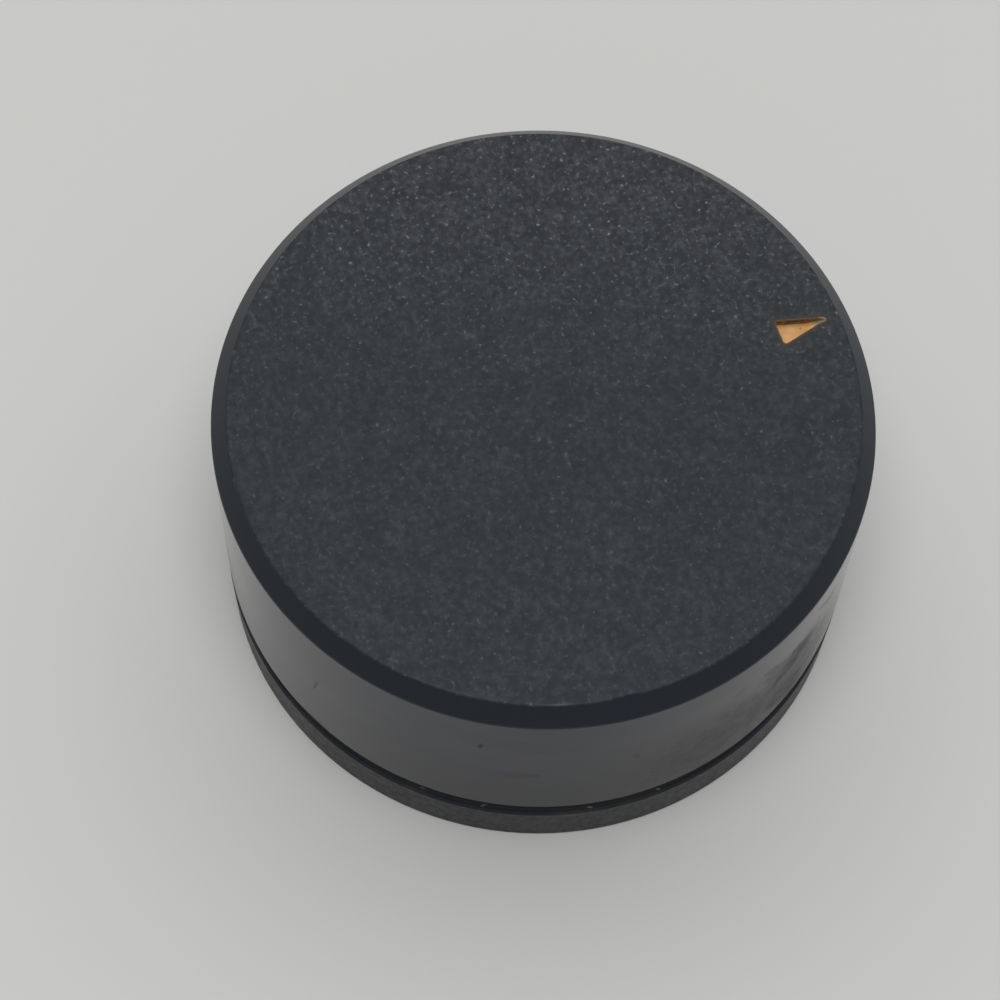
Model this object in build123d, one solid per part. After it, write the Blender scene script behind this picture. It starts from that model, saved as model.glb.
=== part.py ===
from build123d import *
import os

# Push-on volume knob, in millimetres. The origin is the middle of the base, +Z runs up the shaft
# axis, and the pointer is at twelve o'clock (+Y) when the top face is seen from above.

# Outer form
knob_diameter = 40.0
knob_height = 20.6
bevel_width = 1.0
bevel_height = 1.2
rim_round = 0.25
shoulder_round = 0.15

# Foot of the core, and the shadow groove between it and the cap
foot_height = 4.0
foot_draw_in = 0.08
foot_edge_round = 0.15
groove_height = 1.4

# Cap
cap_wall = 1.8
cap_top = 2.0

# Broken edge on each lip of the groove
edge_break = 0.15

# Pointer
pointer_length = 3.04
pointer_width = 1.6
pointer_corner = 0.18
pointer_tip_round = 0.07
pointer_margin = 0.76
pointer_recess = 0.45
pointer_tip_recess = 0.05
pointer_ramp = 1.2
pointer_thickness = 0.6
pointer_fit = 0.02

# Core
core_fit = 0.05
core_lead = 0.5
ring_wall = 1.8
web_thickness = 1.8
boss_diameter = 11.0
nut_recess = 4.6
rib_count = 4
rib_root = 1.6
rib_edge = 1.2
rib_first_angle = 45.0

# Shaft socket: a round pilot at the mouth, then the D-shaped socket
shaft_diameter = 6.0
shaft_across_flat = 4.5
shaft_fit = 0.05
pilot_clearance = 0.25
pilot_length = 3.6
pilot_lead = 0.4
socket_cover = 3.2

# Leaf spring in the socket's flat
spring_thickness = 0.4
spring_width = 3.2
spring_travel = 0.5
spring_reach = 0.25
spring_fit = 0.03
spring_side_gap = 0.1
spring_ledge = 0.6

# Amount that cuts run past the faces they open
overrun = 1.0

# Radii and heights that follow
outer_radius = knob_diameter / 2
face_radius = outer_radius - bevel_width
bevel_foot = knob_height - bevel_height
cap_foot = foot_height + groove_height
cap_bore_radius = outer_radius - cap_wall
cap_ceiling = knob_height - cap_top
core_radius = cap_bore_radius - core_fit
ring_inner_radius = core_radius - ring_wall
base_radius = outer_radius - foot_draw_in
web_foot = cap_ceiling - web_thickness
boss_radius = boss_diameter / 2
pilot_radius = shaft_diameter / 2 + pilot_clearance
pilot_end = nut_recess + pilot_length
socket_radius = shaft_diameter / 2 + shaft_fit
socket_flat = shaft_across_flat - shaft_diameter / 2 + shaft_fit
socket_end = cap_ceiling - socket_cover
pocket_floor = knob_height - pointer_recess - pointer_thickness
pointer_tip = face_radius - pointer_margin
pointer_back = pointer_tip - pointer_length
slot_depth = spring_thickness + spring_travel
slot_back = socket_flat + slot_depth
slot_foot = pilot_end + spring_ledge
slot_width = spring_width + 2 * spring_side_gap


def turned(*corners, rounds=()):
    """A solid of revolution about the knob's axis, from (radius, height) corners, some of them rounded."""
    outline = make_face(Polyline(*corners, close=True))
    for corner, round_radius in rounds:
        outline = fillet(outline.vertices().sort_by_distance(corner)[0], round_radius)
    return revolve(Plane.XZ * outline, Axis.Z)


def upright(outline, low, high):
    """A prism on a flat outline, from one height to another."""
    return extrude(Pos(0, 0, low) * outline, high - low)


def pointer_outline():
    """The pointer's triangle seen from above, with its tip towards the rim."""
    half = pointer_width / 2
    triangle = make_face(
        Polyline((-half, pointer_back), (half, pointer_back), (0, pointer_tip), close=True)
    )
    triangle = fillet(triangle.vertices().sort_by(Axis.Y)[-1], pointer_tip_round)
    return fillet(triangle.vertices().group_by(Axis.Y)[0], pointer_corner)


def make_outer_cap():
    """A cup with a softened bevel at its rim and the pointer's pocket in its face."""
    shell = turned(
        (0, cap_ceiling),
        (cap_bore_radius, cap_ceiling),
        (cap_bore_radius, cap_foot + edge_break),
        (cap_bore_radius + edge_break, cap_foot),
        (outer_radius - edge_break, cap_foot),
        (outer_radius, cap_foot + edge_break),
        (outer_radius, bevel_foot),
        (face_radius, knob_height),
        (0, knob_height),
        rounds=[((face_radius, knob_height), rim_round), ((outer_radius, bevel_foot), shoulder_round)],
    )
    return shell - upright(pointer_outline(), pocket_floor, knob_height + overrun)


def make_pointer_inlay():
    """The coloured triangle on the pocket's floor, whose face climbs towards its tip."""
    outline = offset(pointer_outline(), -pointer_fit)
    prism = upright(outline, pocket_floor, knob_height - pointer_tip_recess)
    side = make_face(
        Polyline(
            (pointer_back, pocket_floor),
            (pointer_tip, pocket_floor),
            (pointer_tip, knob_height - pointer_tip_recess),
            (pointer_tip - pointer_ramp, knob_height - pointer_recess),
            (pointer_back, knob_height - pointer_recess),
            close=True,
        )
    )
    return prism & extrude(Plane.YZ * side, pointer_width / 2, both=True)


def make_rib(angle):
    """One radial rib with draft, from the boss to the ring and up to the web."""
    across = Plane(origin=(0, 0, 0), x_dir=(0, 1, 0), z_dir=(1, 0, 0))
    section = make_face(
        Polyline(
            (-rib_edge / 2, nut_recess),
            (rib_edge / 2, nut_recess),
            (rib_root / 2, web_foot + web_thickness / 2),
            (-rib_root / 2, web_foot + web_thickness / 2),
            close=True,
        )
    )
    return Rot(0, 0, angle) * extrude(across * section, ring_inner_radius + ring_wall / 2)


def make_socket():
    """The room that the shaft takes: mouth lead-in, round pilot, then the D with its spring slot."""
    pilot = turned(
        (0, nut_recess - overrun),
        (pilot_radius + pilot_lead + overrun, nut_recess - overrun),
        (pilot_radius, nut_recess + pilot_lead),
        (pilot_radius, pilot_end),
        (0, pilot_end),
    )
    above_flat = Pos(0, socket_radius - socket_flat) * Rectangle(2 * socket_radius, 2 * socket_radius)
    d_outline = Circle(socket_radius) & above_flat
    d_socket = upright(d_outline, pilot_end, socket_end)
    slot_outline = Pos(0, -slot_back / 2) * Rectangle(slot_width, slot_back)
    slot = upright(slot_outline, slot_foot, socket_end)
    return pilot + d_socket + slot


def make_hub_core():
    """The moulding inside the cap: foot, ring, web, ribs and boss in one piece."""
    body = turned(
        (0, nut_recess),
        (boss_radius, nut_recess),
        (boss_radius, web_foot),
        (ring_inner_radius, web_foot),
        (ring_inner_radius, 0),
        (base_radius, 0),
        (outer_radius, foot_height - edge_break),
        (outer_radius - edge_break, foot_height),
        (core_radius, foot_height),
        (core_radius, cap_ceiling - core_lead),
        (core_radius - core_lead, cap_ceiling),
        (0, cap_ceiling),
        rounds=[((base_radius, 0), foot_edge_round)],
    )
    for index in range(rib_count):
        body += make_rib(rib_first_angle + index * 360 / rib_count)
    return body - make_socket()


def make_shaft_spring():
    """A leaf bowed towards the shaft, with both ends on the back of its slot."""
    end_y = -slot_back + spring_fit + spring_thickness / 2
    bow_y = -socket_flat + spring_reach - spring_thickness / 2
    low = slot_foot + spring_thickness / 2
    high = socket_end - spring_thickness / 2
    middle_line = ThreePointArc((end_y, low), (bow_y, (low + high) / 2), (end_y, high))
    leaf = trace(middle_line, spring_thickness)
    return extrude(Plane.YZ * leaf, spring_width / 2, both=True)


os.makedirs("parts", exist_ok=True)
export_step(make_outer_cap(), "parts/outer_cap.step")
export_step(make_pointer_inlay(), "parts/pointer_inlay.step")
export_step(make_hub_core(), "parts/hub_core.step")
export_step(make_shaft_spring(), "parts/shaft_spring.step")
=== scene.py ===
import math
from typing import NamedTuple

import bmesh
import bpy
from bpy.props import FloatProperty, FloatVectorProperty, IntProperty, PointerProperty
from mathutils import Matrix, Vector


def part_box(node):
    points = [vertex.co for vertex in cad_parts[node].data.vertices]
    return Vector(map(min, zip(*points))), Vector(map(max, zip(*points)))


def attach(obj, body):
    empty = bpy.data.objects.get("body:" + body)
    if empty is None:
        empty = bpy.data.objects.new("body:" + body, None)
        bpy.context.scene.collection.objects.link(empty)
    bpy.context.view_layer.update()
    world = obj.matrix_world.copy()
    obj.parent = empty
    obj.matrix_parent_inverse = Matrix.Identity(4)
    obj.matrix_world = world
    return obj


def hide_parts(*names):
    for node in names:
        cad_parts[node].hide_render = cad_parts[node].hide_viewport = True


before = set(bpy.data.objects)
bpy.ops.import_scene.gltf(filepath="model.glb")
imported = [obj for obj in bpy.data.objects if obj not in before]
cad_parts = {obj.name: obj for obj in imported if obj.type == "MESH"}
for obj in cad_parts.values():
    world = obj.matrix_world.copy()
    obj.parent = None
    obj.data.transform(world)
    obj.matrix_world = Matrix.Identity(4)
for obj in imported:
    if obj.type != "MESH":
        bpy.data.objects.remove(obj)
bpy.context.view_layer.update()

bl_info = {
    "name": "Volume Knob",
    "version": (1, 0, 0),
    "blender": (4, 5, 0),
    "location": "View3D > Sidebar > Knob",
    "description": "Dresses a push-on volume knob over its packed solids and sets it on a pale stage",
    "category": "Add Mesh",
}

# The CAD model's box, and the boxes of the nodes that set the sizes here
cap_low, cap_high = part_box("outer_cap")
inlay_low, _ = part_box("pointer_inlay")

MM = 0.001
NEAR = 0.001 * MM
BODY = "root"


class Mark(NamedTuple):
    """A soft oval on a surface rolled out flat, in degrees round the knob and in metres"""

    angle: float
    place: float
    half_length: float
    half_width: float
    tilt: float
    strength: float


class Border(NamedTuple):
    """A soft border, where something begins at the start and is whole at the end"""

    start: float
    end: float

    def past(self, edge):
        """The same border, counted from an edge."""
        return Border(edge + self.start, edge + self.end)


# Scuff, dark spot, smear, faint spot and a grimy stretch of the lip, by their height on the wall
WALL_MARKS = (
    Mark(-62.6, 12.35 * MM, 2.10 * MM, 0.19 * MM, 76.0, 0.6),
    Mark(-30.5, 15.50 * MM, 0.27 * MM, 0.68 * MM, -8.0, 1.0),
    Mark(-24.6, 11.20 * MM, 2.10 * MM, 0.80 * MM, 3.0, 0.42),
    Mark(-21.4, 11.25 * MM, 0.90 * MM, 0.60 * MM, 10.0, 0.5),
    Mark(-3.4, 12.60 * MM, 0.34 * MM, 1.20 * MM, 12.0, 0.6),
    Mark(-63.5, 5.70 * MM, 1.60 * MM, 0.40 * MM, 0.0, 0.5),
)
# Heavier dabs of grease on the wall's hand mark, by their height
GREASE_DABS = (
    Mark(28.5, 13.00 * MM, 3.60 * MM, 4.00 * MM, 0.0, 0.84),
    Mark(30.0, 8.40 * MM, 4.20 * MM, 4.40 * MM, 0.0, 0.66),
    Mark(23.5, 14.20 * MM, 1.80 * MM, 2.00 * MM, 25.0, 0.65),
    Mark(36.0, 12.50 * MM, 2.60 * MM, 2.60 * MM, 0.0, 0.45),
    Mark(37.5, 16.40 * MM, 1.40 * MM, 1.40 * MM, -25.0, 0.60),
    Mark(17.5, 15.60 * MM, 1.30 * MM, 1.00 * MM, 10.0, 0.45),
)
# Crumbs, by their radius on the foot's ledge
CRUMBS = (
    Mark(-41.2, 19.64 * MM, 0.24 * MM, 0.09 * MM, 10.0, 0.8),
    Mark(-29.6, 19.66 * MM, 0.30 * MM, 0.08 * MM, -32.0, 1.0),
    Mark(-10.4, 19.73 * MM, 0.26 * MM, 0.09 * MM, 14.0, 1.0),
    Mark(2.5, 19.73 * MM, 0.22 * MM, 0.10 * MM, 25.0, 0.9),
)
# Painted highlight on the front of the top face's rim, by its radius
RIM_HIGHLIGHTS = (Mark(-17.5, 18.97 * MM, 1.25 * MM, 0.09 * MM, 0.0, 0.8),)
# Soft border of every mark, in shares of its half length and half width
MARK_EDGE_SHARES = Border(1.0, 0.2)

# Wall: its border below the shoulder, the hand mark by angle and by height, then the painted reflection and
# the haze by height
WALL_EDGE = Border(0.0, -0.4 * MM)
HAND_LEFT = Border(math.radians(-20.0), math.radians(12.0))
HAND_RIGHT = Border(math.radians(50.0), math.radians(32.0))
HAND_TOP = Border(19.0 * MM, 11.0 * MM)
HAND_FOOT = Border(5.5 * MM, 9.5 * MM)
UPPER_SHEEN = Border(5.0 * MM, 19.0 * MM)
HAZE = Border(17.0 * MM, 5.5 * MM)
# How heavy the hand mark is, and how far it strays round the knob, in radians, and up the wall
HAND_STRENGTH = 0.58
STRAY_ROUND = 0.24
STRAY_UP = 5.0 * MM
# Roughness that grease and the bevel add to the polish
GREASE_ROUGHNESS = 0.38
BEVEL_ROUGHNESS = 0.22

# Top face: the grain painted sharper and lighter, with painted glints, away from the dim side, counted
# along that side's direction, and the stain, counted out from the pointer
LIT_FAR_SIDE = Border(3.0 * MM, -16.0 * MM)
STAIN = Border(0.33 * MM, 0.14 * MM)
# How much faster the stain ends ahead of the pointer's tip than beside it
STAIN_AHEAD = 3.0
# Levels of noise between which the grain's peaks, the sparse painted glints and the bright painted glints
# rise
GRAIN_PEAKS = Border(0.27, 0.78)
SPARSE_GLINT_PEAKS = Border(0.52, 0.86)
GLINT_PEAKS = Border(0.57, 0.84)
# Depth of the relief in the shading of the grain, the pointer and the core
GRAIN_DEPTH = 0.04 * MM
POINTER_DEPTH = 0.05 * MM
CORE_DEPTH = 0.03 * MM

# Pointer: pale grey in its pocket and on its face, counted from the tip, and the painted highlight along
# its edge
POCKET_TIP_GREY = Border(0.55 * MM, 0.20 * MM)
POINTER_TIP_GREY = Border(1.05 * MM, 0.55 * MM)
EDGE_HIGHLIGHT = Border(0.26 * MM, 0.04 * MM)
# Share of the pocket's rounding, below the top face, where its rim has its full colour
POCKET_RIM_SHARE = 0.1
# Dark speck on the pointer
SPECK = Border(0.11 * MM, 0.03 * MM)
SPECK_ASIDE = -0.065 * MM
SPECK_FROM_TIP = 1.63 * MM

# Painted light on the ledge of the core's foot, lifting the shade in the groove, counted from the knob's
# wall, the cap's bore and the foot's top
LEDGE_OUTER = Border(-0.15 * MM, -0.45 * MM)
LEDGE_INNER = Border(-0.2 * MM, -0.1 * MM)
LEDGE_TOP = Border(-0.10 * MM, -0.01 * MM)

# Lumps to the metre in the spring's rolling lines, across the leaf and along it
ROLLING_LINES = (9000.0, 300.0, 300.0)

# How much more large faces count than small ones in the shading
EVEN_SHADING = 100
# Steps in the rounding of the rim and shoulder, the pointer's corners and the pocket's rim
RIM_STEPS = 4
CORNER_STEPS = 4
POCKET_STEPS = 3


# Properties


def length(name, description, default):
    """A length that a user can change."""
    return FloatProperty(
        name=name,
        description=description,
        default=default,
        min=0.0,
        subtype="DISTANCE",
        unit="LENGTH",
        precision=6,
    )


def turn(name, description, degrees):
    """An angle that a user can change."""
    return FloatProperty(
        name=name, description=description, default=math.radians(degrees), subtype="ANGLE", unit="ROTATION"
    )


def level(name, description, default):
    """A level of light that a user can change, where 1 shows a colour as it is written."""
    return FloatProperty(name=name, description=description, default=default, min=0.0)


def colour(name, description, red, green, blue):
    """A colour that a user can change, in linear light."""
    return FloatVectorProperty(
        name=name,
        description=description,
        default=(red, green, blue, 1.0),
        size=4,
        min=0.0,
        max=1.0,
        subtype="COLOR",
    )


class KnobSizes(bpy.types.PropertyGroup):
    """Sizes of the knob's pieces"""

    segments: IntProperty(name="Segments", description="Steps round the cap", default=288, min=48)
    radius: length("Radius", "Radius of the polished wall", cap_high.x)
    top: length("Top", "Height of the top face above the base", cap_high.z)
    lip: length("Lip", "Height of the cap's lower edge above the base", cap_low.z)
    foot: length("Foot", "Height of the core's foot", 4.0 * MM)
    bevel_width: length("Bevel width", "How far the bevel draws the rim in", 1.0 * MM)
    bevel_height: length("Bevel height", "How far down the wall the bevel starts", 1.2 * MM)
    wall: length("Wall", "Thickness of the cap's wall", 1.8 * MM)
    crown: length("Crown", "Thickness of the cap under its top face", 2.0 * MM)
    lip_break: length("Lip break", "Size of the small chamfers on the lip", 0.15 * MM)
    rim_round: length("Rim round", "Radius between the top face and the bevel", 0.25 * MM)
    shoulder_round: length("Shoulder round", "Radius between the bevel and the wall", 0.3 * MM)
    rim_land: length("Rim land", "Width of the first ring of faces inside the rim", 0.4 * MM)
    pointer_length: length("Pointer length", "Length of the pointer's triangle", 3.04 * MM)
    pointer_width: length("Pointer width", "Width of the pointer's blunt end", 1.6 * MM)
    pointer_margin: length("Pointer margin", "Distance from the pointer's tip to the rim", 0.76 * MM)
    pointer_floor: length("Pocket floor", "Height of the pocket's floor above the base", inlay_low.z)
    pointer_recess: length("Pointer recess", "Depth of the pointer's face below the top face", 0.45 * MM)
    pointer_tip_recess: length("Tip recess", "Depth of the pointer's face at its tip", 0.05 * MM)
    pointer_ramp: length("Pointer ramp", "Length of the climb towards the tip", 1.2 * MM)
    pointer_corner: length("Pointer corner", "Rounding of the blunt end's corners", 0.18 * MM)
    pointer_tip: length("Pointer tip", "Rounding of the tip", 0.07 * MM)
    pointer_fit: length("Pointer fit", "Gap between the inlay and its pocket", 0.02 * MM)
    pocket_round: length("Pocket round", "Rounding of the pocket's rim", 0.11 * MM)
    wear_depth: length("Wear depth", "How far the worn place cuts into the rim", 0.12 * MM)
    wear_from: turn("Wear from", "Where the worn place starts", -8.5)
    wear_to: turn("Wear to", "Where the worn place ends", -2.5)
    # Side away from which the top face is painted lighter, with more painted glints
    dim_side: turn("Dim grain side", "Side of the top face where the grain is painted dimmer, with fewer painted glints", -23.7)


class KnobColours(bpy.types.PropertyGroup):
    """Colours of the knob and its floor"""

    polished: colour("Polished black", "Bevel", 0.0170, 0.0205, 0.0275)
    wall_low: colour("Wall, low", "Polished wall at its foot", 0.0080, 0.0097, 0.0160)
    # Painted reflection: the upper wall is painted lighter, standing in for the brighter floor that it
    # reflects
    wall_sheen: colour("Wall, high", "Painted reflection on the upper wall", 0.0290, 0.0318, 0.0455)
    grime: colour("Grime", "Scuffs and grease on the wall", 0.009, 0.009, 0.0085)
    grain_low: colour("Grain, low", "Ground of the handled grain", 0.0082, 0.0128, 0.0172)
    grain_high: colour("Grain, high", "Peaks of the handled grain", 0.0275, 0.0340, 0.0402)
    keen_low: colour("Keen grain, low", "Ground of the sharp grain", 0.0085, 0.0116, 0.0156)
    keen_warm: colour("Keen grain, warm", "Warmer ground of the sharp grain", 0.0118, 0.0114, 0.0156)
    # The next two colours are painted glints and lighter painted peaks on the grain
    lit_peak: colour("Keen grain, high", "Painted glinting peaks of the grain", 0.064, 0.069, 0.078)
    painted_glint: colour("Grain, glint", "Painted glints on the grain", 0.215, 0.220, 0.230)
    # Painted highlight on the front of the rim
    rim_highlight: colour("Rim highlight", "Painted highlight on the front of the rim", 0.060, 0.060, 0.058)
    orange: colour("Orange", "Pointer", 0.585, 0.303, 0.098)
    orange_worn: colour("Orange, worn", "Dusty places on the pointer", 0.625, 0.360, 0.148)
    # Painted highlight along the pointer's edge
    orange_edge_highlight: colour("Orange, pale", "Painted highlight along the pointer's edge", 0.74, 0.50, 0.30)
    # Pale grey towards the pointer's tip
    tip_grey: colour("Orange, bare", "Pale grey towards the pointer's tip", 0.27, 0.225, 0.165)
    pocket_paint: colour("Pocket paint", "Thin brown paint on the pocket's walls", 0.24, 0.112, 0.030)
    pocket_rim: colour("Pocket rim", "Thin paint on the pocket's rim", 0.096, 0.062, 0.034)
    stain: colour("Stain", "Brown stain on the top face round the pocket", 0.044, 0.026, 0.010)
    matte: colour("Matte black", "Core and its foot", 0.0143, 0.0157, 0.0212)
    dust: colour("Dust", "Dust on the foot and crumbs in the groove", 0.190, 0.178, 0.160)
    # Painted light that lifts the shade on the ledge in the groove
    ledge: colour("Ledge", "Painted light on the ledge in the groove", 0.050, 0.053, 0.061)
    steel: colour("Steel", "Leaf spring", 0.50, 0.50, 0.49)
    steel_bright: colour("Steel, bright", "Bright rolling lines of the leaf spring", 0.60, 0.60, 0.585)
    floor: colour("Floor", "Pale floor", 0.60, 0.60, 0.585)


class KnobStage(bpy.types.PropertyGroup):
    """Floor, light and camera"""

    floor_radius: length("Floor radius", "Radius of the floor", 3.0)
    floor_opening: length("Floor opening", "Radius of the opening that the base covers", 19.75 * MM)
    floor_drop: length("Floor drop", "Hairline between the base and the floor", 0.01 * MM)
    sky_bright: level("Sky, bright", "Level of the sky on the far side and overhead", 1.113)
    sky_dark: level("Sky, dark", "Level of the sky at the horizon and behind the camera", 0.30)
    sky_below: level("Sky, below", "Level under the floor, which lights the underside", 0.90)
    sky_slope: turn("Sky slope", "Height of the sky's brightest part above the floor, as an angle", 15.6)
    lamp_distance: length("Lamp distance", "Distance from the knob to the soft lamp", 0.6)
    lamp_width: length("Lamp width", "Width of the soft lamp", 0.30)
    lamp_rise: turn("Lamp rise", "Height of the lamp above the floor, as an angle", 78.5)
    lamp_share: level("Lamp share", "How much of the floor's light the lamp gives", 0.409)
    camera_turn: turn("Camera turn", "Turn of the camera about the knob", 66.3)
    camera_rise: turn("Camera rise", "Height of the camera above the floor, as an angle", 66.296)
    camera_roll: turn("Camera roll", "Tilt of the camera about its line of sight", 2.413)
    camera_distance: length("Camera distance", "Distance from the knob's base to the camera", 199.16 * MM)
    camera_lens: length("Camera lens", "Focal length for a sensor 36 mm wide", 108.64 * MM)
    aim_left: length("Aim left", "How far left of the base the camera aims", 2.499 * MM)
    aim_up: length("Aim up", "How far above the base the camera aims", 2.829 * MM)


# Mesh helpers


def turned(bm, corners, segments):
    """Spins a line of (radius, height) corners once round the Z axis."""
    verts = [bm.verts.new((radius, 0.0, height)) for radius, height in corners]
    edges = [bm.edges.new(pair) for pair in zip(verts, verts[1:])]
    bmesh.ops.spin(
        bm,
        geom=verts + edges,
        cent=(0, 0, 0),
        axis=(0, 0, 1),
        angle=math.tau,
        steps=segments,
        use_merge=True,
    )
    bmesh.ops.remove_doubles(bm, verts=bm.verts, dist=NEAR)


def ring_edges(bm, radius, height):
    """The edges of the circle at one radius and height."""

    def on_ring(vert):
        return abs(vert.co.xy.length - radius) < NEAR and abs(vert.co.z - height) < NEAR

    return [edge for edge in bm.edges if all(on_ring(vert) for vert in edge.verts)]


def round_edges(bm, edges, radius, segments):
    """Rounds edges that meet at one angle over to a radius."""
    setback = radius * math.tan(edges[0].calc_face_angle() / 2)
    bmesh.ops.bevel(
        bm,
        geom=edges,
        offset=setback,
        affect="EDGES",
        segments=segments,
        profile=0.5,
        material=-1,
        clamp_overlap=True,
    )


def round_corner(bm, vert, radius, segments):
    """Rounds one corner of a lone flat face to a radius, and gives the face that it leaves."""
    sides = [edge.other_vert(vert).co - vert.co for edge in vert.link_edges]
    setback = radius / math.tan(sides[0].angle(sides[1]) / 2)
    made = bmesh.ops.bevel(
        bm, geom=[vert], offset=setback, affect="VERTICES", segments=segments, profile=0.5, material=-1
    )
    return made["verts"][0].link_faces[0]


def tip_reach(sizes):
    """Distance from the knob's axis to the pointer's tip."""
    return sizes.radius - sizes.bevel_width - sizes.pointer_margin


def pointer_face(bm, sizes, inset, height):
    """The pointer's rounded triangle as one face, drawn in by an inset, with its tip on +Y."""
    tip = tip_reach(sizes)
    back = tip - sizes.pointer_length
    half = sizes.pointer_width / 2
    corners = [(half, back), (0.0, tip), (-half, back)]
    rounds = [sizes.pointer_corner, sizes.pointer_tip, sizes.pointer_corner]
    face = bm.faces.new([bm.verts.new((x, y, height)) for x, y in corners])
    for vert, radius in zip(list(face.verts), rounds):
        face = round_corner(bm, vert, radius, CORNER_STEPS)
    if inset > 0:
        border = bmesh.ops.inset_region(
            bm, faces=[face], thickness=inset, use_boundary=True, use_even_offset=True
        )
        bmesh.ops.delete(bm, geom=border["faces"], context="FACES")
    return face


def sink(bm, faces, floor):
    """Extrudes faces straight down to a floor, into a closed prism that they still cover."""
    made = bmesh.ops.extrude_face_region(bm, geom=faces)["geom"]
    verts = [item for item in made if isinstance(item, bmesh.types.BMVert)]
    bmesh.ops.transform(bm, matrix=Matrix.Diagonal((1, 1, 0, 1)), verts=verts)
    bmesh.ops.translate(bm, verts=verts, vec=(0, 0, floor))


def climb(bm, start, end, rise):
    """Tilts the part of a face that lies past a line across Y, so that it climbs towards the end."""
    geom = bm.verts[:] + bm.edges[:] + bm.faces[:]
    bmesh.ops.bisect_plane(bm, geom=geom, dist=NEAR, plane_co=(0, start, 0), plane_no=(0, 1, 0))
    for vert in bm.verts:
        vert.co.z += max(0.0, vert.co.y - start) / (end - start) * rise


def wear_ring(verts, start, end, depth):
    """Draws a stretch of a ring of corners in towards the axis, most in the middle of the stretch."""
    for vert in verts:
        share = (math.atan2(vert.co.y, vert.co.x) - start) / (end - start)
        if 0 < share < 1:
            vert.co.xy -= vert.co.xy.normalized() * depth * math.sin(math.pi * share)


def mesh_object(context, bm, name, materials):
    """Turns a bmesh into an object with its materials."""
    mesh = bpy.data.meshes.new(name)
    bm.to_mesh(mesh)
    bm.free()
    for material in materials:
        mesh.materials.append(material)
    made = bpy.data.objects.new(name, mesh)
    context.collection.objects.link(made)
    return made


def new_piece(context, bm, name, materials):
    """Turns a bmesh into a smooth piece that rides on the knob's body."""
    bmesh.ops.recalc_face_normals(bm, faces=bm.faces)
    for face in bm.faces:
        face.smooth = True
    piece = mesh_object(context, bm, name, materials)
    normals = piece.modifiers.new("Even shading", "WEIGHTED_NORMAL")
    normals.mode = "FACE_AREA"
    normals.weight = EVEN_SHADING
    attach(piece, BODY)
    return piece


def finish_node(name, material):
    """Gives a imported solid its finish."""
    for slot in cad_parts[name].material_slots:
        slot.material = material


# Material helpers

# Places of the sockets on a node that mixes colours
MIX_SHARE = 0
MIX_FIRST = 6
MIX_SECOND = 7
MIX_RESULT = 2


def new_material(name):
    """A new material with its tree and its main shader."""
    material = bpy.data.materials.new(name)
    material.use_nodes = True
    return material, material.node_tree, material.node_tree.nodes["Principled BSDF"]


def add_node(tree, kind, inputs=None, **settings):
    """A new node whose inputs are plain values or the sockets that feed them."""
    made = tree.nodes.new(kind)
    for name, value in settings.items():
        setattr(made, name, value)
    for name, value in (inputs or {}).items():
        if isinstance(value, bpy.types.NodeSocket):
            tree.links.new(value, made.inputs[name])
        else:
            made.inputs[name].default_value = value
    return made


def feed(tree, socket, value):
    """Links an output to an input."""
    tree.links.new(value, socket)


def object_place(tree):
    """The place on the piece, in its own coordinates."""
    return add_node(tree, "ShaderNodeTexCoord").outputs["Object"]


def axes_of(tree, place):
    """The three numbers of a place."""
    made = add_node(tree, "ShaderNodeSeparateXYZ", {"Vector": place})
    return made.outputs["X"], made.outputs["Y"], made.outputs["Z"]


def maths(tree, operation, *terms):
    """The result of one sum."""
    made = add_node(tree, "ShaderNodeMath", dict(enumerate(terms)), operation=operation)
    return made.outputs["Value"]


def vector_maths(tree, operation, *terms):
    """The number that one sum of places gives."""
    made = add_node(tree, "ShaderNodeVectorMath", dict(enumerate(terms)), operation=operation)
    return made.outputs["Value"]


def product(tree, first, *others):
    """The product of several numbers."""
    for other in others:
        first = maths(tree, "MULTIPLY", first, other)
    return first


def ease(tree, value, low, high, at_low=0.0, at_high=1.0):
    """A smooth change between two numbers while a value goes from low to high."""
    inputs = {"Value": value, "From Min": low, "From Max": high, "To Min": at_low, "To Max": at_high}
    made = add_node(tree, "ShaderNodeMapRange", inputs, interpolation_type="SMOOTHSTEP")
    return made.outputs["Result"]


def noise(tree, place, scale, detail=2.0, roughness=0.5):
    """Soft noise from zero to one, with so many lumps to the metre."""
    inputs = {"Vector": place, "Scale": scale, "Detail": detail, "Roughness": roughness}
    return add_node(tree, "ShaderNodeTexNoise", inputs).outputs["Fac"]


def blend(tree, amount, first, second):
    """One colour turning into another."""
    inputs = {MIX_SHARE: amount, MIX_FIRST: first, MIX_SECOND: second}
    return add_node(tree, "ShaderNodeMix", inputs, data_type="RGBA").outputs[MIX_RESULT]


def relief(tree, shader, height, strength, depth):
    """Fine relief in a surface's shading."""
    inputs = {"Height": height, "Strength": strength, "Distance": depth}
    feed(tree, shader.inputs["Normal"], add_node(tree, "ShaderNodeBump", inputs).outputs["Normal"])


def peaks(tree, value, low, high):
    """The high places of a noise: most of it near zero and a few peaks near one."""
    made = add_node(tree, "ShaderNodeMapRange", {"Value": value, "From Min": low, "From Max": high})
    return maths(tree, "POWER", made.outputs["Result"], 2.0)


def stretched(tree, place, across, upward, detail=3.0):
    """Noise drawn out sideways, with so many lumps to the metre each way."""
    scaled = add_node(tree, "ShaderNodeMapping", {"Vector": place, "Scale": (across, across, upward)})
    return noise(tree, scaled.outputs["Vector"], scale=1.0, detail=detail, roughness=0.6)


def layered(tree, first, second, share):
    """Two noises in one, with the share that the first has in it."""
    return maths(tree, "MULTIPLY_ADD", first, share, maths(tree, "MULTIPLY", second, 1 - share))


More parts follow.
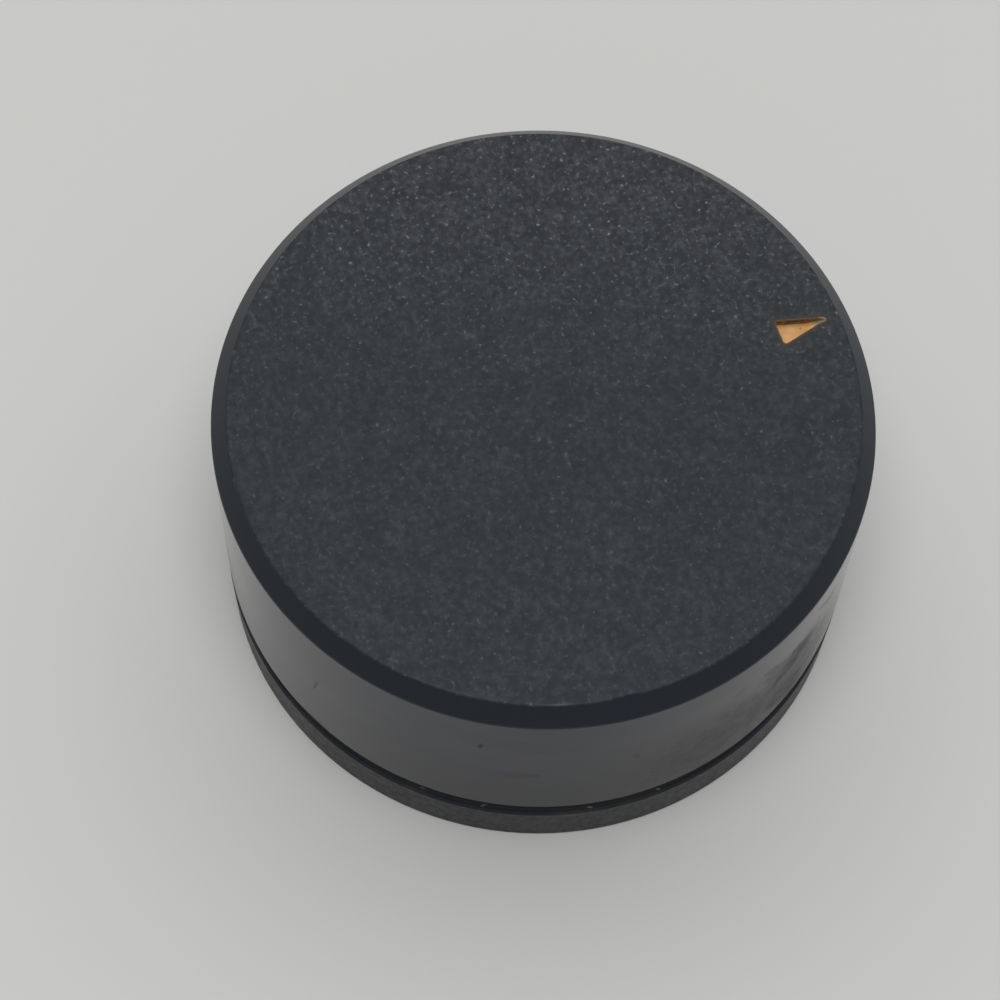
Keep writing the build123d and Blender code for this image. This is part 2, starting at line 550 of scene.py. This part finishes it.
def ragged(tree, value, lumps, stray):
    """A value that noise pushes to and fro, so that the borders drawn by it are ragged."""
    return maths(tree, "MULTIPLY_ADD", lumps, stray, maths(tree, "SUBTRACT", value, stray / 2))


def polar(tree, place):
    """The angle about the axis, the distance from it and the height."""
    x, y, z = axes_of(tree, place)
    squares = maths(tree, "ADD", maths(tree, "MULTIPLY", x, x), maths(tree, "MULTIPLY", y, y))
    return maths(tree, "ARCTAN2", y, x), maths(tree, "SQRT", squares), z


def marked(tree, angle, other, radius, marks):
    """One value for a set of marks, on a surface rolled out flat by angle and height or distance."""
    along = maths(tree, "MULTIPLY", angle, radius)
    flat = add_node(tree, "ShaderNodeCombineXYZ", {"X": along, "Y": other}).outputs["Vector"]
    total = None
    for mark in marks:
        inputs = {
            "Vector": flat,
            "Location": (math.radians(mark.angle) * radius, mark.place, 0.0),
            "Rotation": (0.0, 0.0, math.radians(mark.tilt)),
            "Scale": (mark.half_length, mark.half_width, 1.0),
        }
        local = add_node(tree, "ShaderNodeMapping", inputs, vector_type="TEXTURE").outputs["Vector"]
        soft = ease(tree, vector_maths(tree, "LENGTH", local), *MARK_EDGE_SHARES, at_high=mark.strength)
        total = soft if total is None else maths(tree, "MAXIMUM", total, soft)
    return total


def on_pointer(tree, place, sizes):
    """Where a place is on the pointer: aside, back from the tip, and the triangle's half width there."""
    aside, y, _ = axes_of(tree, place)
    to_tip = maths(tree, "SUBTRACT", tip_reach(sizes), y)
    half_width = maths(tree, "MULTIPLY", to_tip, sizes.pointer_width / 2 / sizes.pointer_length)
    return aside, to_tip, half_width


def outside_pointer(tree, place, sizes):
    """How far a place is outside the pointer's rounded triangle."""
    aside, to_tip, half_width = on_pointer(tree, place, sizes)
    beside = maths(tree, "SUBTRACT", maths(tree, "ABSOLUTE", aside), half_width)
    behind = maths(tree, "SUBTRACT", to_tip, sizes.pointer_length)
    around = maths(tree, "SMOOTH_MAX", beside, behind, 2 * sizes.pointer_corner)
    return maths(tree, "MAXIMUM", around, maths(tree, "MULTIPLY", to_tip, -STAIN_AHEAD))


# Materials


def polished_black(colours, sizes):
    """Gloss moulding of the wall and bevel, with a greasy hand mark, small scuffs and a painted reflection
    that lightens the upper wall.
    """
    material, tree, shader = new_material("polished_black")
    place = object_place(tree)
    angle, _, height = polar(tree, place)
    on_wall = ease(tree, height, *WALL_EDGE.past(sizes.top - sizes.bevel_height))
    cloud = stretched(tree, place, across=130.0, upward=330.0)
    blots = stretched(tree, place, across=380.0, upward=420.0, detail=2.0)
    fine = stretched(tree, place, across=900.0, upward=900.0, detail=2.0)
    ragged_angle = ragged(tree, angle, cloud, STRAY_ROUND)
    ragged_height = ragged(tree, height, blots, STRAY_UP)
    hand = product(
        tree,
        on_wall,
        ease(tree, angle, *HAND_LEFT),
        ease(tree, angle, *HAND_RIGHT),
        ease(tree, ragged_height, *HAND_TOP),
        ease(tree, height, *HAND_FOOT, at_low=0.70),
        HAND_STRENGTH,
    )
    dabs = marked(tree, ragged_angle, ragged_height, sizes.radius, GREASE_DABS)
    mottle = ease(tree, fine, 0.30, 0.70, at_low=0.84, at_high=1.12)
    grease = maths(tree, "MULTIPLY", maths(tree, "MAXIMUM", hand, dabs), mottle)
    dull = maths(tree, "MAXIMUM", grease, marked(tree, angle, height, sizes.radius, WALL_MARKS))
    # The upper wall is painted lighter in uneven clouds, a painted reflection of the brighter floor
    uneven = ease(tree, cloud, 0.30, 0.70, at_low=0.45, at_high=1.35)
    sheen = maths(tree, "MULTIPLY", ease(tree, height, *UPPER_SHEEN), uneven)
    wall = blend(tree, sheen, colours.wall_low, colours.wall_sheen)
    ground = blend(tree, on_wall, colours.polished, wall)
    feed(tree, shader.inputs["Base Color"], blend(tree, dull, ground, colours.grime))
    haze = ease(tree, height, *HAZE, at_low=0.06, at_high=0.15)
    polish = maths(tree, "ADD", haze, ease(tree, on_wall, 0.0, 1.0, at_low=BEVEL_ROUGHNESS, at_high=0.0))
    feed(tree, shader.inputs["Roughness"], maths(tree, "MULTIPLY_ADD", dull, GREASE_ROUGHNESS, polish))
    shader.inputs["IOR"].default_value = 1.285
    return material


def grained_black(colours, sizes):
    """Fine moulded grain of the top face, painted sharper and lighter, with painted glints, away from its
    dim side.
    """
    material, tree, shader = new_material("grained_black")
    place = object_place(tree)
    # Away from the dim side the grain is painted sharper and lighter, with more painted glints: a painted
    # highlight from the light on the far side
    side = (math.cos(sizes.dim_side), math.sin(sizes.dim_side), 0.0)
    lit_side = ease(tree, vector_maths(tree, "DOT_PRODUCT", place, side), *LIT_FAR_SIDE)
    broad = noise(tree, place, scale=700.0)
    lumps = layered(tree, broad, noise(tree, place, scale=2200.0, detail=1.5), 0.25)
    soft = blend(tree, peaks(tree, lumps, *GRAIN_PEAKS), colours.grain_low, colours.grain_high)
    # Sparse painted glints over the whole top face
    sparse_glints = peaks(tree, noise(tree, place, scale=2700.0, detail=1.5), *SPARSE_GLINT_PEAKS)
    soft = blend(tree, maths(tree, "MULTIPLY", sparse_glints, 0.8), soft, colours.lit_peak)
    pits = noise(tree, place, scale=2700.0)
    cells = layered(tree, broad, pits, 0.2)
    warmth = ease(tree, noise(tree, place, scale=1300.0), 0.40, 0.70, at_high=0.4)
    keen_ground = blend(tree, warmth, colours.keen_low, colours.keen_warm)
    sharp = blend(tree, peaks(tree, cells, *GRAIN_PEAKS), keen_ground, colours.lit_peak)
    # Bright painted glints, strongest away from the dim side
    glint_spots = peaks(tree, noise(tree, place, scale=3400.0, detail=1.0), *GLINT_PEAKS)
    glints = maths(tree, "MULTIPLY", glint_spots, ease(tree, lit_side, 0.0, 1.0, at_low=0.32))
    finish = blend(tree, glints, blend(tree, lit_side, soft, sharp), colours.painted_glint)
    angle, distance, _ = polar(tree, place)
    # Painted highlight on the front of the rim
    rim_highlight = marked(tree, angle, distance, sizes.radius - sizes.bevel_width, RIM_HIGHLIGHTS)
    finish = blend(tree, rim_highlight, finish, colours.rim_highlight)
    stained = ease(tree, outside_pointer(tree, place, sizes), *STAIN, at_high=0.9)
    feed(tree, shader.inputs["Base Color"], blend(tree, stained, finish, colours.stain))
    feed(tree, shader.inputs["Roughness"], ease(tree, lumps, 0.3, 0.7, at_low=0.60, at_high=0.50))
    shader.inputs["IOR"].default_value = 1.5
    shader.inputs["Specular IOR Level"].default_value = 0.3
    relief(tree, shader, pits, strength=0.25, depth=GRAIN_DEPTH)
    return material


def pocket_paint(colours, sizes):
    """Thin paint on the walls of the pointer's pocket, thinner still over its rim."""
    material, tree, shader = new_material("pocket_paint")
    place = object_place(tree)
    thin = ease(tree, noise(tree, place, scale=2600.0), 0.40, 0.70)
    walls = blend(tree, thin, colours.pocket_paint, colours.grain_high)
    rim_edge = Border(-sizes.pocket_round, -POCKET_RIM_SHARE * sizes.pocket_round)
    rim = ease(tree, axes_of(tree, place)[2], *rim_edge.past(sizes.top))
    paint = blend(tree, rim, walls, colours.pocket_rim)
    _, to_tip, _ = on_pointer(tree, place, sizes)
    # Pocket's paint turns paler grey towards the tip
    greyed = ease(tree, to_tip, *POCKET_TIP_GREY, at_high=0.6)
    feed(tree, shader.inputs["Base Color"], blend(tree, greyed, paint, colours.tip_grey))
    feed(tree, shader.inputs["Roughness"], ease(tree, thin, 0.0, 1.0, at_low=0.55, at_high=0.40))
    shader.inputs["Specular IOR Level"].default_value = 0.15
    return material


def pointer_orange(colours, sizes):
    """Orange filling of the pointer: dusty, with a painted highlight along one edge, and pale grey towards
    its tip.
    """
    material, tree, shader = new_material("pointer_orange")
    place = object_place(tree)
    aside, to_tip, half_width = on_pointer(tree, place, sizes)
    wear = noise(tree, place, scale=2300.0, detail=3.0)
    paint = blend(tree, ease(tree, wear, 0.42, 0.68), colours.orange, colours.orange_worn)
    # Painted highlight along the pointer's edge on the +X side
    from_edge = maths(tree, "SUBTRACT", half_width, aside)
    paint = blend(tree, ease(tree, from_edge, *EDGE_HIGHLIGHT), paint, colours.orange_edge_highlight)
    speck_place = (SPECK_ASIDE, tip_reach(sizes) - SPECK_FROM_TIP, sizes.top - sizes.pointer_recess)
    speck = ease(tree, vector_maths(tree, "DISTANCE", place, speck_place), *SPECK, at_high=0.75)
    paint = blend(tree, speck, paint, colours.pocket_paint)
    # Pointer turns paler grey towards its tip
    paint = blend(tree, ease(tree, to_tip, *POINTER_TIP_GREY), paint, colours.tip_grey)
    feed(tree, shader.inputs["Base Color"], paint)
    feed(tree, shader.inputs["Roughness"], ease(tree, wear, 0.3, 0.7, at_low=0.45, at_high=0.65))
    relief(tree, shader, wear, strength=0.3, depth=POINTER_DEPTH)
    return material


def matte_black(colours, sizes):
    """Fine matte moulding of the core, with crumbs of dust and painted light on the foot's ledge."""
    material, tree, shader = new_material("matte_black")
    place = object_place(tree)
    angle, distance, height = polar(tree, place)
    grain = noise(tree, place, scale=2500.0, detail=3.0)
    bloom = ease(tree, stretched(tree, place, across=260.0, upward=900.0), 0.45, 0.80, at_high=0.10)
    ground = blend(tree, bloom, colours.matte, colours.dust)
    # Painted light on the ledge in the groove, lifting its shade
    groove_fill = product(
        tree,
        ease(tree, distance, *LEDGE_OUTER.past(sizes.radius)),
        ease(tree, distance, *LEDGE_INNER.past(sizes.radius - sizes.wall)),
        ease(tree, height, *LEDGE_TOP.past(sizes.foot)),
    )
    ground = blend(tree, groove_fill, ground, colours.ledge)
    crumbs = marked(tree, angle, distance, sizes.radius, CRUMBS)
    feed(tree, shader.inputs["Base Color"], blend(tree, crumbs, ground, colours.dust))
    feed(tree, shader.inputs["Roughness"], ease(tree, grain, 0.3, 0.7, at_low=0.40, at_high=0.52))
    shader.inputs["Specular IOR Level"].default_value = 0.27
    relief(tree, shader, grain, strength=0.15, depth=CORE_DEPTH)
    return material


def spring_steel(colours):
    """Rolled steel strip with its rolling lines along the leaf."""
    material, tree, shader = new_material("spring_steel")
    lines = add_node(tree, "ShaderNodeMapping", {"Vector": object_place(tree), "Scale": ROLLING_LINES})
    streaks = noise(tree, lines.outputs["Vector"], scale=1.0, detail=3.0)
    shader.inputs["Metallic"].default_value = 1.0
    feed(tree, shader.inputs["Base Color"], blend(tree, streaks, colours.steel, colours.steel_bright))
    feed(tree, shader.inputs["Roughness"], ease(tree, streaks, 0.2, 0.8, at_low=0.24, at_high=0.40))
    return material


def pale_floor(colours):
    """Plain pale floor, open to view from below."""
    material, tree, shader = new_material("pale_floor")
    fibre = noise(tree, object_place(tree), scale=700.0, detail=3.0)
    feed(tree, shader.inputs["Roughness"], ease(tree, fibre, 0.3, 0.7, at_low=0.75, at_high=0.9))
    shader.inputs["Base Color"].default_value = colours.floor
    shader.inputs["Specular IOR Level"].default_value = 0.1
    below = add_node(tree, "ShaderNodeNewGeometry").outputs["Backfacing"]
    clear = add_node(tree, "ShaderNodeBsdfTransparent").outputs["BSDF"]
    sides = add_node(tree, "ShaderNodeMixShader", {0: below, 1: shader.outputs["BSDF"], 2: clear})
    feed(tree, tree.nodes["Material Output"].inputs["Surface"], sides.outputs["Shader"])
    return material


# Operators


class KNOB_OT_outer_cap(bpy.types.Operator):
    """Builds the cap: polished wall and bevel, grained top face and the pointer's pocket"""

    bl_idname = "knob.outer_cap"
    bl_label = "Outer Cap"

    # Places of the finishes on the cap
    POLISHED, GRAINED, PAINTED = range(3)
    # A face is part of the grained top when its normal points up by more than this
    GRAINED_SLOPE = 0.7

    def execute(self, context):
        sizes = context.scene.knob_sizes
        colours = context.scene.knob_colours
        face_radius = sizes.radius - sizes.bevel_width
        bevel_foot = sizes.top - sizes.bevel_height
        bore = sizes.radius - sizes.wall
        ceiling = sizes.top - sizes.crown
        bm = bmesh.new()
        turned(
            bm,
            [
                (face_radius - sizes.rim_land, sizes.top),
                (face_radius, sizes.top),
                (sizes.radius, bevel_foot),
                (sizes.radius, sizes.lip + sizes.lip_break),
                (sizes.radius - sizes.lip_break, sizes.lip),
                (bore + sizes.lip_break, sizes.lip),
                (bore, sizes.lip + sizes.lip_break),
                (bore, ceiling),
                (0.0, ceiling),
            ],
            sizes.segments,
        )
        bm.normal_update()
        rim = ring_edges(bm, face_radius, sizes.top)
        shoulder = ring_edges(bm, sizes.radius, bevel_foot)
        pocket = pointer_face(bm, sizes, 0.0, sizes.top)
        mouth = list(pocket.edges)
        sink(bm, [pocket], sizes.pointer_floor)
        bmesh.ops.delete(bm, geom=[pocket], context="FACES_ONLY")
        open_edges = [edge for edge in bm.edges if edge.is_boundary]
        bmesh.ops.triangle_fill(bm, edges=open_edges, use_beauty=True, normal=(0, 0, 1))
        bmesh.ops.recalc_face_normals(bm, faces=bm.faces)
        rim_verts = {vert for edge in rim for vert in edge.verts}
        wear_ring(rim_verts, sizes.wear_from, sizes.wear_to, sizes.wear_depth)
        round_edges(bm, rim, sizes.rim_round, RIM_STEPS)
        round_edges(bm, shoulder, sizes.shoulder_round, RIM_STEPS)
        round_edges(bm, mouth, sizes.pocket_round, POCKET_STEPS)
        bm.normal_update()
        for face in bm.faces:
            middle = face.calc_center_median()
            if middle.xy.length > face_radius - sizes.rim_land or middle.z > sizes.top - NEAR:
                upright = face.normal.z > self.GRAINED_SLOPE
                face.material_index = self.GRAINED if upright else self.POLISHED
            elif middle.z > ceiling + NEAR:
                face.material_index = self.PAINTED
        makers = (polished_black, grained_black, pocket_paint)
        finishes = [make_finish(colours, sizes) for make_finish in makers]
        cap = new_piece(context, bm, "outer_cap_shell", finishes)
        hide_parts("outer_cap")
        return {"FINISHED"}


class KNOB_OT_pointer_inlay(bpy.types.Operator):
    """Builds the orange pointer that lies in the cap's pocket"""

    bl_idname = "knob.pointer_inlay"
    bl_label = "Pointer Inlay"

    def execute(self, context):
        sizes = context.scene.knob_sizes
        tip = tip_reach(sizes)
        bm = bmesh.new()
        pointer_face(bm, sizes, sizes.pointer_fit, sizes.top - sizes.pointer_recess)
        climb(bm, tip - sizes.pointer_ramp, tip, sizes.pointer_recess - sizes.pointer_tip_recess)
        sink(bm, bm.faces[:], sizes.pointer_floor)
        inlay = new_piece(context, bm, "pointer_fill", [pointer_orange(context.scene.knob_colours, sizes)])
        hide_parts("pointer_inlay")
        return {"FINISHED"}


class KNOB_OT_hub_core(bpy.types.Operator):
    """Finishes the matte core, whose foot shows below the cap"""

    bl_idname = "knob.hub_core"
    bl_label = "Hub Core"

    def execute(self, context):
        finish_node("hub_core", matte_black(context.scene.knob_colours, context.scene.knob_sizes))
        return {"FINISHED"}


class KNOB_OT_shaft_spring(bpy.types.Operator):
    """Finishes the steel leaf in the core's socket"""

    bl_idname = "knob.shaft_spring"
    bl_label = "Shaft Spring"

    def execute(self, context):
        finish_node("shaft_spring", spring_steel(context.scene.knob_colours))
        return {"FINISHED"}


class KNOB_OT_stage(bpy.types.Operator):
    """Lays the floor and sets the soft light and the camera"""

    bl_idname = "knob.stage"
    bl_label = "Stage"

    # Steps round the floor
    FLOOR_STEPS = 192
    # Borders of the sky: towards its brightest part, above the horizon and below it
    FAR_SIDE = Border(-0.136, 0.829)
    ABOVE = Border(0.12, 0.40)
    BELOW = Border(0.0, -0.1)
    # Width of the camera's sensor in millimetres, and the nearest that the camera sees
    SENSOR_WIDTH = 36.0
    NEAREST = 5.0 * MM

    def execute(self, context):
        scene = context.scene
        stage = scene.knob_stage
        self.lay_floor(context, stage)
        self.light_sky(scene, stage)
        self.hang_lamp(context, stage)
        self.set_camera(context, stage)
        scene.view_settings.view_transform = "Standard"
        return {"FINISHED"}

    def heading(self, around, rise):
        """The direction from the knob to a place round it, at a height given as an angle."""
        flat = math.cos(rise)
        return Vector((math.sin(around) * flat, -math.cos(around) * flat, math.sin(rise)))

    def lay_floor(self, context, stage):
        """A round floor, open where the base covers it, so that the underside has light too."""
        bm = bmesh.new()
        edges = [(radius, -stage.floor_drop) for radius in (stage.floor_opening, stage.floor_radius)]
        turned(bm, edges, self.FLOOR_STEPS)
        bm.normal_update()
        bmesh.ops.reverse_faces(bm, faces=[face for face in bm.faces if face.normal.z < 0])
        floor = mesh_object(context, bm, "floor", [pale_floor(context.scene.knob_colours)])

    def light_sky(self, scene, stage):
        """Soft light from the far side and overhead, with a darker horizon."""
        world = bpy.data.worlds.new("soft_sky")
        world.use_nodes = True
        tree = world.node_tree
        direction = add_node(tree, "ShaderNodeTexCoord").outputs["Generated"]
        _, _, height = axes_of(tree, direction)
        brightest = self.heading(stage.camera_turn + math.pi, stage.sky_slope)
        far_side = ease(tree, vector_maths(tree, "DOT_PRODUCT", direction, brightest), *self.FAR_SIDE)
        open_sky = maths(tree, "MULTIPLY", far_side, ease(tree, height, *self.ABOVE))
        over = ease(tree, open_sky, 0.0, 1.0, at_low=stage.sky_dark, at_high=stage.sky_bright)
        under = ease(tree, height, *self.BELOW, at_high=stage.sky_below - stage.sky_dark)
        feed(tree, tree.nodes["Background"].inputs["Strength"], maths(tree, "ADD", over, under))
        tree.nodes["Background"].inputs["Color"].default_value = (1.0, 1.0, 1.0, 1.0)
        scene.world = world

    def hang_lamp(self, context, stage):
        """A soft lamp high up on the camera's side."""
        toward = self.heading(stage.camera_turn, stage.lamp_rise)
        data = bpy.data.lights.new("soft_lamp", "AREA")
        data.shape = "DISK"
        data.size = stage.lamp_width
        data.energy = stage.lamp_share * math.pi**2 * stage.lamp_distance**2 / math.sin(stage.lamp_rise)
        lamp = bpy.data.objects.new("soft_lamp", data)
        lamp.location = toward * stage.lamp_distance
        lamp.rotation_euler = toward.to_track_quat("Z", "Y").to_euler()
        context.collection.objects.link(lamp)

    def set_camera(self, context, stage):
        """A camera at the photo's angle, height and distance."""
        right = Vector((math.cos(stage.camera_turn), math.sin(stage.camera_turn), 0.0))
        back = self.heading(stage.camera_turn, stage.camera_rise)
        up = back.cross(right)
        aim = up * stage.aim_up - right * stage.aim_left
        place = back * stage.camera_distance
        data = bpy.data.cameras.new("photo_camera")
        data.sensor_width = self.SENSOR_WIDTH
        data.lens = stage.camera_lens / MM
        data.clip_start = self.NEAREST
        camera = bpy.data.objects.new("photo_camera", data)
        look = (aim - place).to_track_quat("-Z", "Y").to_matrix().to_4x4()
        camera.matrix_world = Matrix.Translation(place) @ look @ Matrix.Rotation(stage.camera_roll, 4, "Z")
        context.collection.objects.link(camera)
        context.scene.camera = camera


class KNOB_PT_sidebar(bpy.types.Panel):
    """Sizes, colours and steps of the volume knob"""

    bl_label = "Volume Knob"
    bl_idname = "KNOB_PT_sidebar"
    bl_space_type = "VIEW_3D"
    bl_region_type = "UI"
    bl_category = "Knob"

    def draw(self, context):
        for operator in OPERATORS:
            self.layout.operator(operator.bl_idname)
        for group in (context.scene.knob_sizes, context.scene.knob_colours, context.scene.knob_stage):
            box = self.layout.box()
            for name in group.__annotations__:
                box.prop(group, name)


OPERATORS = (
    KNOB_OT_outer_cap,
    KNOB_OT_pointer_inlay,
    KNOB_OT_hub_core,
    KNOB_OT_shaft_spring,
    KNOB_OT_stage,
)
CLASSES = (KnobSizes, KnobColours, KnobStage, *OPERATORS, KNOB_PT_sidebar)


def register():
    for item in CLASSES:
        bpy.utils.register_class(item)
    bpy.types.Scene.knob_sizes = PointerProperty(type=KnobSizes)
    bpy.types.Scene.knob_colours = PointerProperty(type=KnobColours)
    bpy.types.Scene.knob_stage = PointerProperty(type=KnobStage)


def unregister():
    del bpy.types.Scene.knob_stage
    del bpy.types.Scene.knob_colours
    del bpy.types.Scene.knob_sizes
    for item in reversed(CLASSES):
        bpy.utils.unregister_class(item)


def main():
    register()
    bpy.ops.knob.outer_cap()
    bpy.ops.knob.pointer_inlay()
    bpy.ops.knob.hub_core()
    bpy.ops.knob.shaft_spring()
    bpy.ops.knob.stage()


if __name__ == "__main__":
    main()
